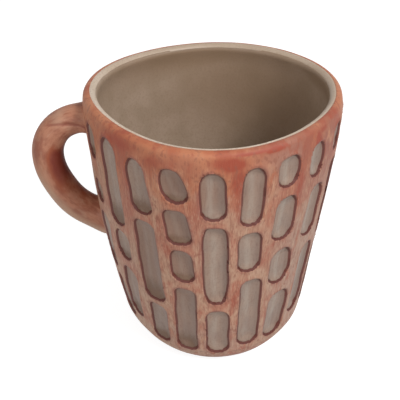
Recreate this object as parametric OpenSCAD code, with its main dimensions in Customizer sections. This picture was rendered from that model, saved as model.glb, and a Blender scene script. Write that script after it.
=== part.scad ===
// Hand-built pottery mug with columns of carved windows and an ear-shaped handle.
// The origin is at the middle of the foot, +Z is up and the handle points along -X.

/* [Cup] */
// Height from the table to the crest of the lip
mug_h = 100; // [85:1:120]
// Radius of the flat patch that the mug stands on
foot_flat_r = 26; // [21:1:32]
// Radius of the rounded heel between the foot and the wall
heel_round = 10; // [8:1:12]
// Lean of the wall out from upright, just above the heel, in degrees
low_lean = 10; // [8:0.5:12]
// Lean of the wall out from upright, where the shoulder starts, in degrees
high_lean = 5; // [2:0.5:6]
// Radius of the shoulder's turn back in below the lip
shoulder_round = 30; // [22:1:38]
// Lean of the shoulder in from upright, just below the lip, in degrees
lip_lean = 8; // [4:1:12]
// Thickness of the clay wall, which is also the thickness of the round lip
wall_t = 5; // [4:0.5:6]
// Thickness of the clay slab under the wall
slab_t = 7; // [5:0.5:8]
// Radius of the coil smoothed into the inside corner
coil_round = 9; // [6:1:12]

/* [Carved windows] */
// Number of window columns, from one side of the handle round to the other
window_columns = 19; // [15:1:20]
// Angle from the middle of the handle to the middle of the nearest column, in degrees
handle_clear_turn = 20; // [18:1:24]
// Sideways turn of a column from the table up to the lip, in degrees
column_twist = 4; // [0:1:6]
// Width of a window
window_w = 9.2; // [7.8:0.1:9.6]
// Radius of a window's corners
window_corner_r = 3.7; // [2.5:0.1:4]
// Depth of the carving along the middle of a window
carve_depth = 1.5; // [1.3:0.1:2]
// Depth of the carving at the sides of a window
carve_edge = 0.8; // [0.6:0.1:1]
// Thickness of the glaze in a window
window_glaze_t = 0.4; // [0.2:0.1:0.5]

/* [Handle] */
// Distance from the crest of the lip down to the middle of the handle's upper end
handle_drop = 12; // [11:1:24]
// Straight run from the wall to the upper bend
handle_run = 1.5; // [1:0.5:4]
// Radius of the upper bend, along the middle of the handle
upper_bend_r = 14; // [12:0.5:16]
// Radius of the lower bend, along the middle of the handle
lower_bend_r = 29.5; // [26:0.5:34]
// Turn of the lower bend, in degrees
lower_bend_turn = 58; // [50:1:62]
// Thickness of the handle at its upper end
handle_top_t = 10.5; // [8.5:0.5:12]
// Thickness of the handle from its outermost point down
handle_low_t = 12; // [10:0.5:13]
// Width of the handle, seen along the wall
handle_w = 12.5; // [10:0.5:14]
// Reach of the slip smoothed round each end of the handle
slip_round = 2.5; // [1.5:0.5:3]

/* [Glaze] */
// Thickness of the glaze that lines the inside and the inner side of the lip
liner_t = 0.5; // [0.4:0.1:0.8]
// Width of the pale band, from the crest of the lip inwards
lip_band_w = 2.7; // [2:0.1:3]

/* [Hidden] */
$fn = 180;

// Lower and upper ends of the windows, as shares of the mug's height, one row to a column.
// The columns past the last row start again from the first.
window_shares = [
    [[0.08, 0.28], [0.33, 0.57], [0.61, 0.74], [0.80, 0.95]],
    [[0.12, 0.38], [0.42, 0.55], [0.58, 0.94]],
    [[0.06, 0.27], [0.30, 0.66], [0.69, 0.93]],
    [[0.07, 0.40], [0.44, 0.58], [0.61, 0.76], [0.79, 0.93]],
    [[0.06, 0.30], [0.34, 0.70], [0.73, 0.93]],
    [[0.09, 0.44], [0.48, 0.66], [0.69, 0.93]],
    [[0.08, 0.34], [0.37, 0.55], [0.58, 0.78], [0.81, 0.94]],
    [[0.10, 0.50], [0.53, 0.76], [0.79, 0.94]],
    [[0.13, 0.42], [0.46, 0.79], [0.82, 0.95]]
];
// Largest share of a window's width that a corner radius may take
corner_limit_share = 0.48;

// How far the cutting shapes reach past what they cut
over = 2;
// How deep the ends of the handle run in before the wall trims them
joint_sink = 3;
// Thickness of the slip at its thin edges
slip_edge = 0.2;
// Sides of the handle's section, in counts
handle_sides = 24;
// Counts: straight lengths along the handle and down its slip
bend_steps = 9;
run_steps = 3;
slip_steps = 4;
// Counts: straight lengths that stand for each arc of the cup's section
heel_steps = 10;
belly_steps = 5;
shoulder_steps = 4;
lip_steps = 5;
// Counts: sides of a window's corner, and straight lengths behind the coil
corner_sides = 4;
corner_steps = 2;

function polar(r, turn) = r * [cos(turn), sin(turn)];
function reverse(list) = [for (i = [len(list) - 1 : -1 : 0]) list[i]];
function mix(a, b, share) = a + (b - a) * share;

// Points along an arc, without its first point
function arc(centre, r, from, to, steps) =
    [for (i = [1 : steps]) centre + polar(r, mix(from, to, i / steps))];

// Half section of the cup, as [distance from the axis, height]: four arcs that run into one another
lip_round = wall_t / 2;
heel_centre = [foot_flat_r, heel_round];
belly_foot = heel_centre + polar(heel_round, -low_lean);
shoulder_foot_z = mug_h - lip_round * (1 - sin(lip_lean)) - shoulder_round * (sin(lip_lean) + sin(high_lean));
belly_round = (shoulder_foot_z - belly_foot[1]) / (sin(low_lean) - sin(high_lean));
belly_centre = belly_foot - polar(belly_round, -low_lean);
shoulder_centre = belly_centre + polar(belly_round - shoulder_round, -high_lean);
lip_centre = shoulder_centre + polar(shoulder_round - lip_round, lip_lean);

outer_line = concat(
    [[foot_flat_r, 0]],
    arc(heel_centre, heel_round, -90, -low_lean, heel_steps),
    arc(belly_centre, belly_round, -low_lean, -high_lean, belly_steps),
    arc(shoulder_centre, shoulder_round, -high_lean, lip_lean, shoulder_steps),
    arc(lip_centre, lip_round, lip_lean, 90, lip_steps)
);

// Radius and outward lean of the wall at a height
function wall_r(z) = belly_centre[0] + sqrt(pow(belly_round, 2) - pow(z - belly_centre[1], 2));
function wall_lean(z) = asin((belly_centre[1] - z) / belly_round);

// The glazed inside face, and the arc that the coil gives it at the floor
inner_belly_r = belly_round - wall_t;
coil_centre_z = slab_t + liner_t + coil_round;
coil_turn = asin((coil_centre_z - belly_centre[1]) / (inner_belly_r - coil_round));
coil_centre = belly_centre + polar(inner_belly_r - coil_round, coil_turn);
corner_turn = asin((slab_t - belly_centre[1]) / (inner_belly_r + liner_t));
lip_band_turn = 90 + lip_band_w / lip_round * 180 / PI;

// Stretches of the inside face, set back into the clay: over the lip band, down to the coil, and on
// behind the coil to the slab. The pieces on both sides of a face share its points.
function band_line(back) = concat(
    [lip_centre + polar(lip_round - back, 90)],
    arc(lip_centre, lip_round - back, 90, lip_band_turn, lip_steps)
);
function inner_line(back) = concat(
    arc(lip_centre, lip_round - back, lip_band_turn, 180 + lip_lean, lip_steps),
    arc(shoulder_centre, shoulder_round - wall_t + back, lip_lean, -high_lean, shoulder_steps),
    arc(belly_centre, inner_belly_r + back, -high_lean, coil_turn, belly_steps)
);
corner_line = arc(belly_centre, inner_belly_r + liner_t, coil_turn, corner_turn, corner_steps);

// Inside face from the lip band down over the coil and in along the floor
function liner_line(back) = concat(
    [lip_centre + polar(lip_round - back, lip_band_turn)],
    inner_line(back),
    arc(coil_centre, coil_round + back, coil_turn, -90, heel_steps),
    [[0, slab_t + liner_t - back]]
);

// Half section of the solid cup
module cup_section() {
    polygon(concat([[0, 0]], outer_line, [[0, mug_h]]));
}

// Half section of everything below the top of the slab
module below_slab_top() {
    translate([0, -over]) square([foot_flat_r + heel_round + over, slab_t + over]);
}

module base_slab() {
    color("#b4694e") rotate_extrude() intersection() {
        cup_section();
        below_slab_top();
    }
}

// The glaze and the coil lie on the clay face of the wall
module wall_section() {
    difference() {
        polygon(concat(outer_line, band_line(liner_t), inner_line(liner_t), corner_line));
        below_slab_top();
    }
}

module floor_coil() {
    color("#a99a88") rotate_extrude() polygon(concat(
        [coil_centre + polar(coil_round + liner_t, coil_turn)],
        corner_line,
        [coil_centre - [0, coil_round + liner_t]],
        arc(coil_centre, coil_round + liner_t, -90, coil_turn, heel_steps)
    ));
}

module liner_glaze() {
    color("#8c7d69") rotate_extrude() polygon(concat(liner_line(liner_t), reverse(liner_line(0))));
}

module lip_band() {
    color("#cdbda4") rotate_extrude() polygon(concat(band_line(0), reverse(band_line(liner_t))));
}

// Turn from one column of windows to the next
column_step = (360 - 2 * handle_clear_turn) / (window_columns - 1);

// Window with rounded corners, cut straight into the wall from outside
module window_cut(h) {
    r = min(window_corner_r, window_w * corner_limit_share);
    corner = [window_w / 2 - r, h / 2 - r];
    signs = [[1, 1], [-1, 1], [-1, -1], [1, -1]];
    rotate([90, 0, 90]) translate([0, 0, -carve_depth - over]) linear_extrude(carve_depth + 2 * over)
        polygon([for (q = [0 : 3], i = [0 : corner_sides])
            [signs[q][0] * corner[0], signs[q][1] * corner[1]] + polar(r, 90 * (q + i / corner_sides))]);
}

// Round gouge run up the wall, deepest along the middle of the window
module gouge(h, depth) {
    rise = carve_depth - carve_edge;
    r = (pow(window_w / 2, 2) + pow(rise, 2)) / (2 * rise);
    translate([r - depth, 0, 0]) cylinder(r = r, h = h + over, center = true);
}

// Puts its children on the wall: local X points out of the wall and local Z runs up it
module on_wall(turn, z) {
    rotate([0, 0, turn]) translate([wall_r(z), 0, z]) rotate([0, wall_lean(z), 0]) children();
}

// One column of windows: what is carved out, or the glaze that then lies in it
module window_column(k, glaze) {
    for (ends = window_shares[k % len(window_shares)]) {
        z = mug_h * (ends[0] + ends[1]) / 2;
        h = mug_h * (ends[1] - ends[0]);
        twist = column_twist * (1 / 2 - z / mug_h);
        on_wall(180 + handle_clear_turn + column_step * k + twist, z) difference() {
            intersection() {
                window_cut(h);
                gouge(h, carve_depth);
            }
            if (glaze) gouge(h + over, carve_depth - window_glaze_t);
        }
    }
}

module cup_wall() {
    color("#b4694e") difference() {
        rotate_extrude() wall_section();
        for (k = [0 : window_columns - 1]) window_column(k, false);
    }
}

module window_glaze(k) {
    color("#94897a") window_column(k, true);
}

// Middle line of the handle in its own upright plane, as [distance from the axis, height, turn down]:
// straight out from the wall, round two bends that run into one another, and straight in again
handle_top_z = mug_h - handle_drop;
handle_wall_r = wall_r(handle_top_z);
upper_bend_centre = [handle_wall_r + handle_run, handle_top_z - upper_bend_r];
lower_bend_centre = upper_bend_centre + [upper_bend_r - lower_bend_r, 0];
lower_bend_end = lower_bend_centre + polar(lower_bend_r, -lower_bend_turn);
lower_turn = 90 + lower_bend_turn;
lower_lean = wall_lean(lower_bend_end[1]);
lower_wall_r = wall_r(lower_bend_end[1]);
lower_run = (lower_bend_end[0] - lower_wall_r)
    / (sin(lower_bend_turn) - tan(lower_lean) * cos(lower_bend_turn));
// The lower end meets the wall aslant, so it runs in further by its own thickness
lower_sink = joint_sink + handle_low_t;

function heading(turn) = [cos(turn), -sin(turn)];
function square_to(turn) = [sin(turn), cos(turn)];

handle_path = concat(
    [for (i = [0 : run_steps - 1])
        [handle_wall_r + mix(-joint_sink, handle_run, i / run_steps), handle_top_z, 0]],
    [for (i = [0 : bend_steps])
        let (turn = 90 * i / bend_steps) concat(upper_bend_centre + polar(upper_bend_r, 90 - turn), turn)],
    [for (i = [1 : bend_steps])
        let (turn = lower_bend_turn * i / bend_steps)
        concat(lower_bend_centre + polar(lower_bend_r, -turn), 90 + turn)],
    [for (i = [1 : run_steps])
        concat(lower_bend_end + heading(lower_turn) * (lower_run + lower_sink) * i / run_steps, lower_turn)]
);

// Thickness of the handle at a turn of its path, which grows smoothly round the upper bend
function handle_t(turn) = mix(handle_top_t, handle_low_t, (1 - cos(2 * min(turn, 90))) / 2);

// Joins rings of equally many points into one closed skin, with a fan over each end
module loft(rings) {
    sides = len(rings[0]);
    last = len(rings) - 1;
    middles = [for (ring = [rings[0], rings[last]]) (ring[0] + ring[sides / 2]) / 2];
    polyhedron(
        points = concat([for (ring = rings) each ring], middles),
        faces = concat(
            [for (i = [0 : last - 1], j = [0 : sides - 1])
                let (a = i * sides + j, b = i * sides + (j + 1) % sides)
                each [[a, a + sides, b], [b, a + sides, b + sides]]],
            [for (j = [0 : sides - 1])
                let (next = (j + 1) % sides, end = last * sides, middle = end + sides)
                each [[j, next, middle], [end + next, end + j, middle + 1]]]
        )
    );
}

// A point of the handle's plane, moved sideways out of it
function off_plane(p, side) = [-p[0], side, p[1]];
side_turns = [for (j = [0 : handle_sides - 1]) 360 * j / handle_sides];

module handle_form() {
    loft([for (p = handle_path) [for (a = side_turns)
        off_plane([p[0], p[1]] + square_to(p[2]) * cos(a) * handle_t(p[2]) / 2, sin(a) * handle_w / 2)]]);
}

module cup_form() {
    rotate_extrude() cup_section();
}

module handle() {
    color("#b06a4c") difference() {
        handle_form();
        cup_form();
    }
}

// Slip smoothed round one end of the handle. Each ring keeps its distance from the wall, which
// leans and curves away, and the rings widen towards the wall along a quarter circle.
module handle_slip(end, turn, t, lean, r) {
    // The handle's path leaves the wall at its upper end and comes back to it at its lower end
    way = turn > 90 ? -1 : 1;
    way_out = way * heading(turn);
    wall_out = [cos(lean), -sin(lean)];
    wall_up = way * [sin(lean), cos(lean)];
    rings = [for (i = [-1 : slip_steps])
        let (
            off = i < 0 ? -joint_sink : mix(slip_round, slip_edge, cos(90 * i / slip_steps)),
            grow = i < 0 ? slip_round : mix(slip_round, slip_edge, sin(90 * i / slip_steps))
        )
        [for (a = side_turns)
            let (
                side = way * sin(a) * (handle_w / 2 + grow),
                start = square_to(turn) * cos(a) * t / 2,
                run = (off - side * side / (2 * r) - start * wall_out) / (way_out * wall_out)
            )
            off_plane(end + start + way_out * run + wall_up * cos(a) * grow, side)]];
    color("#b4694e") difference() {
        loft(rings);
        handle_form();
        cup_form();
    }
}

module upper_handle_slip() {
    end = [handle_wall_r, handle_top_z];
    handle_slip(end, 0, handle_top_t, wall_lean(handle_top_z), handle_wall_r);
}

module lower_handle_slip() {
    end = lower_bend_end + heading(lower_turn) * lower_run;
    handle_slip(end, lower_turn, handle_low_t, lower_lean, lower_wall_r);
}

base_slab();
cup_wall();
floor_coil();
lip_band();
liner_glaze();
handle();
upper_handle_slip();
lower_handle_slip();
for (k = [1 : window_columns])
    window_glaze(k - 1);
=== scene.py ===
"""Hand-built stoneware mug: a cup carved with columns of shallow windows, and a pulled handle.

The clay is brushed with salmon and orange slip, the windows and the inside are glazed grey-beige, and a
pale band of glaze runs round the inner side of the lip. All lengths are in metres unless a name says mm.
"""

import logging
import math
from dataclasses import dataclass
from enum import Enum
from typing import Sequence

import bpy
import numpy as np
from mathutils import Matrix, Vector


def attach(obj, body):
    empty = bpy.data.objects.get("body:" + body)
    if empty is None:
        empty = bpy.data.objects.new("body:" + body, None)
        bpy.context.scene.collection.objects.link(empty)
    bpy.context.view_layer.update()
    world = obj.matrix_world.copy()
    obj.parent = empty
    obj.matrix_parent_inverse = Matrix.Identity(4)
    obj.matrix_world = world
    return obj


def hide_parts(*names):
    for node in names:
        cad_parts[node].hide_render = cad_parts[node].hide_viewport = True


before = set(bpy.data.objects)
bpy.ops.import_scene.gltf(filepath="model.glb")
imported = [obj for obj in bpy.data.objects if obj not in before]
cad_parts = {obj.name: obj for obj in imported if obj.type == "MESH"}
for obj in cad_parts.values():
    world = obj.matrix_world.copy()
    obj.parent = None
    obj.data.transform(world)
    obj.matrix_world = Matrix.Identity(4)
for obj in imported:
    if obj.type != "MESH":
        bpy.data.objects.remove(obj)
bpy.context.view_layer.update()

LOG = logging.getLogger("mug")
MM = 0.001
TURN = 2 * math.pi
Point = tuple[float, float]
Grid = np.ndarray
Place = tuple[float, float, float]
Socket = bpy.types.NodeSocket


def linear(hex_colour: str, alpha: float = 1.0) -> tuple[float, float, float, float]:
    """Turns an sRGB hex colour into the linear values that the shaders use.

    Args:
        hex_colour: Six hex digits with a leading hash sign.
        alpha: Opacity of the colour.

    Returns:
        Linear red, green, blue and alpha.
    """
    digits = hex_colour.lstrip("#")
    shares = [int(digits[i : i + 2], 16) / 255 for i in (0, 2, 4)]
    red, green, blue = [s / 12.92 if s <= 0.04045 else ((s + 0.055) / 1.055) ** 2.4 for s in shares]
    return red, green, blue, alpha


def smooth(low: float, high: float, value: Grid) -> Grid:
    """Rises smoothly from 0 at low to 1 at high."""
    share = np.clip((value - low) / (high - low), 0, 1)
    return share * share * (3 - 2 * share)


def ripple(*phases: Grid) -> Grid:
    """Adds sine waves and scales the sum to lie between -1 and 1."""
    return sum(np.sin(phase) for phase in phases) / len(phases)


def on_circle(centre: Point, radius: float, angle: float) -> Point:
    """Point of a circle at an angle in degrees from the outward direction."""
    turn = math.radians(angle)
    return centre[0] + radius * math.cos(turn), centre[1] + radius * math.sin(turn)


def turn_from(theta: Grid, middle: Grid | float) -> Grid:
    """Angles past a middle one, between half a turn back and half a turn on."""
    return (theta - middle + math.pi) % TURN - math.pi


def polar(places: Grid) -> tuple[Grid, Grid, Grid]:
    """Angles of places round the axis, their distances from it and their heights."""
    return np.arctan2(places[:, 1], places[:, 0]), np.hypot(places[:, 0], places[:, 1]), places[:, 2]


def from_polar(theta: Grid, reach: Grid, z: Grid) -> Grid:
    """Places at some angles round the axis, distances from it and heights."""
    return np.stack([reach * np.cos(theta), reach * np.sin(theta), z], axis=1)


def widen(places: Grid, factor: Grid) -> Grid:
    """Moves places away from the axis by a factor."""
    return places * np.stack([factor, factor, np.ones_like(factor)], axis=1)


def deselect() -> None:
    """Leaves edit mode and deselects everything, so that an operator acts on its own piece only."""
    if bpy.context.mode != "OBJECT":
        bpy.ops.object.mode_set(mode="OBJECT")
    bpy.ops.object.select_all(action="DESELECT")


def make_active(piece: bpy.types.Object) -> None:
    """Selects one piece by itself and makes it the active one."""
    deselect()
    piece.select_set(True)
    bpy.context.view_layer.objects.active = piece


def apply_modifier(piece: bpy.types.Object, kind: str, **settings: float | str | bool) -> None:
    """Adds a modifier to a piece with its settings and applies it."""
    make_active(piece)
    modifier = piece.modifiers.new(kind.title(), kind)
    for name, value in settings.items():
        setattr(modifier, name, value)
    bpy.ops.object.modifier_apply(modifier=modifier.name)


def places_of(piece: bpy.types.Object) -> Grid:
    """Places of the vertices of a piece, one row each."""
    places = np.zeros(len(piece.data.vertices) * 3)
    piece.data.vertices.foreach_get("co", places)
    return places.reshape(-1, 3)


def move(piece: bpy.types.Object, places: Grid) -> None:
    """Moves the vertices of a piece to new places, one row each."""
    piece.data.vertices.foreach_set("co", places.ravel())
    piece.data.update()


def store(piece: bpy.types.Object, **kept: Grid) -> None:
    """Keeps numbers or places for the vertices as attributes that a material can read."""
    for name, values in kept.items():
        kind, key = ("FLOAT", "value") if values.ndim == 1 else ("FLOAT_VECTOR", "vector")
        piece.data.attributes.new(name, kind, "POINT").data.foreach_set(key, values.ravel())


def edit(piece: bpy.types.Object) -> None:
    """Opens one piece in edit mode with all of it selected."""
    make_active(piece)
    bpy.ops.object.mode_set(mode="EDIT")
    bpy.ops.mesh.select_all(action="SELECT")


def close_and_smooth(piece: bpy.types.Object, open_ends: bool = False) -> None:
    """Merges doubled vertices, fills open ends, turns all faces outwards and shades the piece smooth."""
    edit(piece)
    bpy.ops.mesh.remove_doubles(threshold=MM / 500)
    if open_ends:
        bpy.ops.mesh.select_all(action="DESELECT")
        bpy.ops.mesh.select_non_manifold()
        bpy.ops.mesh.edge_face_add()
        bpy.ops.mesh.select_all(action="SELECT")
    bpy.ops.mesh.normals_make_consistent(inside=False)
    bpy.ops.object.mode_set(mode="OBJECT")
    bpy.ops.object.shade_smooth()


def lathe(name: str, outline: Sequence[Point], turns: int) -> bpy.types.Object:
    """Spins an outline once round the upright axis, as on a wheel.

    Args:
        name: Name of the new piece.
        outline: Distance from the axis and height of each point, in order.
        turns: Number of faces round the axis.

    Returns:
        The spun piece, closed and shaded smooth.
    """
    deselect()
    bpy.ops.mesh.primitive_plane_add(size=MM)
    piece = bpy.context.object
    piece.name = name
    edit(piece)
    bpy.ops.mesh.merge(type="CENTER")
    bpy.ops.transform.translate(value=(outline[0][0], 0, outline[0][1]))
    for (reach, height), (next_reach, next_height) in zip(outline, outline[1:]):
        step = (next_reach - reach, 0, next_height - height)
        bpy.ops.mesh.extrude_region_move(TRANSFORM_OT_translate={"value": step})
    bpy.ops.mesh.select_all(action="SELECT")
    bpy.ops.mesh.spin(steps=turns, angle=TURN, center=(0, 0, 0), axis=(0, 0, 1))
    close_and_smooth(piece)
    return piece


def arc(centre: Point, radius: float, start: float, end: float, step: float) -> list[Point]:
    """Points along an arc, without its first point.

    Args:
        centre: Centre of the arc.
        radius: Its radius.
        start: Angle of the first point from the outward direction, in degrees.
        end: Angle of the last point.
        step: Largest distance between two points.

    Returns:
        The points, from start to end.
    """
    count = max(1, math.ceil(abs(math.radians(end - start)) * radius / step))
    return [on_circle(centre, radius, start + (end - start) * (i + 1) / count) for i in range(count)]


class WindowForm(Enum):
    """Outline of a carved window: the power of an oval, or the corner's share of half the width."""

    BARREL = 3.6
    OVAL = 2.4
    EGG = 0.96
    ROUND_ENDED = 0.88
    SQUARISH = 0.72


@dataclass(frozen=True)
class Window:
    """One carved window, with its ends as shares of the mug's height.

    The tilt is in degrees, the taper is the share of its width that it gains towards its top, and the arch
    says how many times as tall as wide its rounded upper corners are.
    """

    low_share: float
    high_share: float
    width_mm: float = 9.2
    form: WindowForm = WindowForm.ROUND_ENDED
    tilt: float = 0.0
    taper: float = 0.0
    shift_mm: float = 0.0
    arch: float = 1.0


B, O, E, R, S = WindowForm

# One row of windows to a column, from low to high, starting next to the handle on the camera's side.
WINDOW_COLUMNS: tuple[tuple[Window, ...], ...] = (
    (
        Window(0.08, 0.28, 8.6),
        Window(0.32, 0.575, 8.6, R, -8, 0, -1.0),
        Window(0.62, 0.715, 8.6, E, -3),
        Window(0.805, 0.937, 8.6, R, -4),
    ),
    (
        Window(0.13, 0.39, 8.6, R, -8, 0, -1.4),
        Window(0.43, 0.565, 8.4, E, -5),
        Window(0.59, 0.944, 9.2, R, 0, 0.08, 0.2, 1.4),
    ),
    (
        Window(0.08, 0.278, 8.2, S, -5),
        Window(0.305, 0.673, 9.6, S, 0, 0, 0.6),
        Window(0.705, 0.927, 8.9, E, 4, -0.1, 0.6, 1.4),
    ),
    (
        Window(0.08, 0.405, 8.4, S, -3, 0, 0.4),
        Window(0.44, 0.587, 8.6, E, 2, 0, 1.0),
        Window(0.613, 0.762, 9.2, S, 6, 0, 0.6),
        Window(0.79, 0.93, 9.4, O, 14, -0.1, 0.4),
    ),
    (
        Window(0.076, 0.30, 8.7),
        Window(0.338, 0.702, 9.3, B, 0, 0.05, -0.3),
        Window(0.733, 0.93, 8.9, E, 0, 0, -0.5, 1.4),
    ),
    (
        Window(0.10, 0.437, 9.0),
        Window(0.482, 0.663, 9.2, E, 0, 0, -1.5),
        Window(0.695, 0.936, 8.5, E, -2, 0, -1.3, 1.4),
    ),
    (
        Window(0.09, 0.32, 10.8, R, -2, 0, 1.0),
        Window(0.376, 0.537, 10.8, E, -1, 0, -0.4),
        Window(0.586, 0.774, 10.5, E, -4, 0, -1.4),
        Window(0.818, 0.943, 10.5, O, 3, 0, -1.4),
    ),
    (
        Window(0.143, 0.478, 9.5, R, -2, 0, 2.6),
        Window(0.532, 0.747, 10.0, R, -9, 0, 1.7),
        Window(0.793, 0.935, 9.4, O, 4, 0, -0.4),
    ),
    (Window(0.13, 0.42, 9.0), Window(0.46, 0.79, 9.0), Window(0.83, 0.94, 9.2, O, 3)),
)


@dataclass(frozen=True)
class Stain:
    """A smear of slip on the wall: where its middle is, how far it reaches and how strong it is."""

    turn: float
    height_mm: float
    half_width_mm: float
    half_height_mm: float
    strength: float


# Where iron stained the slip red, where the glazes are painted warmer and darker, where slip was rubbed
# thin, and where slip was washed brown.
RED_STAINS = (
    Stain(276.5, 95.5, 4, 2.6, 1.3),
    Stain(273, 96, 5, 3, 0.75),
    Stain(279, 89, 3.2, 9, 0.75),
    Stain(280, 78, 3, 10, 0.5),
    Stain(262, 78, 2.5, 14, 0.4),
    Stain(284, 98.8, 7, 0.6, 0.9),
    Stain(295, 98.4, 3.5, 0.9, 1.4),
    Stain(321, 94.5, 1.8, 3.2, 1.4),
    Stain(325, 97.5, 3, 1.2, 0.7),
    Stain(311, 80, 3, 12, 0.75),
    Stain(224, 96, 12, 4, 0.7),
    Stain(244, 94, 7, 2.5, 0.45),
    Stain(228, 80, 3, 18, 0.5),
    Stain(246, 60, 2.5, 12, 0.4),
    Stain(295, 52, 3, 5, 0.5),
    Stain(280, 36, 3, 6, 0.55),
    Stain(300, 24, 3, 5, 0.4),
    Stain(340, 88, 4, 12, 0.5),
    Stain(20, 94, 14, 5, 0.7),
    Stain(75, 96, 12, 4, 0.8),
    Stain(130, 95, 12, 5, 0.7),
)
WARM_GLAZES = (
    Stain(250, 60, 12, 60, 0.75),
    Stain(252, 86, 7, 9, 0.9),
    Stain(232, 45, 10, 30, 0.8),
    Stain(216, 30, 8, 30, 0.5),
    Stain(95, 98, 60, 12, 1.0),
    Stain(65, 84, 45, 26, 0.9),
    Stain(262, 84, 14, 9, 0.75),
    Stain(284, 84, 9, 9, 0.55),
    Stain(8, 99, 40, 8, 1.0),
)
RUBBED = (
    Stain(318, 40, 16, 34, 1.0),
    Stain(336, 30, 12, 30, 1.0),
    Stain(266, 12, 34, 9, 0.8),
    Stain(300, 92, 12, 10, 0.5),
    Stain(225, 40, 10, 30, 0.4),
)
BROWN_WASHES = (
    Stain(306, 97, 22, 9, 0.8),
    Stain(330, 88, 14, 22, 0.9),
    Stain(300, 80, 4, 14, 0.5),
    Stain(316, 62, 4, 16, 0.5),
    Stain(255, 94, 14, 6, 0.55),
    Stain(236, 92, 12, 8, 0.45),
    Stain(303, 50, 4, 25, 0.7),
    Stain(286, 50, 4, 30, 0.4),
    Stain(326, 96, 10, 6, 0.6),
    Stain(60, 92, 26, 10, 0.6),
    Stain(150, 92, 22, 10, 0.5),
)

# Bulges and flats of the outside, where the strength is a rise in mm.
BULGES = (
    Stain(6, 79, 26, 13, 0.7),
    Stain(212, 9, 22, 11, -0.9),
    Stain(44, 98, 22, 14, 0.3),
    Stain(140, 98, 22, 14, 0.4),
)


@dataclass(frozen=True)
class Lobe:
    """One wave of the cup's plan, with its swellings per turn and its rise in percent at three heights."""

    count: int
    peak: float
    foot: float
    waist: float
    lip: float


LOBES = (
    Lobe(1, 0, foot=1.0, waist=-1.2, lip=0),
    Lobe(2, 36, foot=0.2, waist=0.6, lip=0.9),
    Lobe(2, 90, foot=0, waist=0.3, lip=0.6),
    Lobe(3, 276, foot=3.0, waist=1.5, lip=2.2),
    Lobe(4, 264, foot=0.4, waist=0.8, lip=1.1),
)


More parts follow.
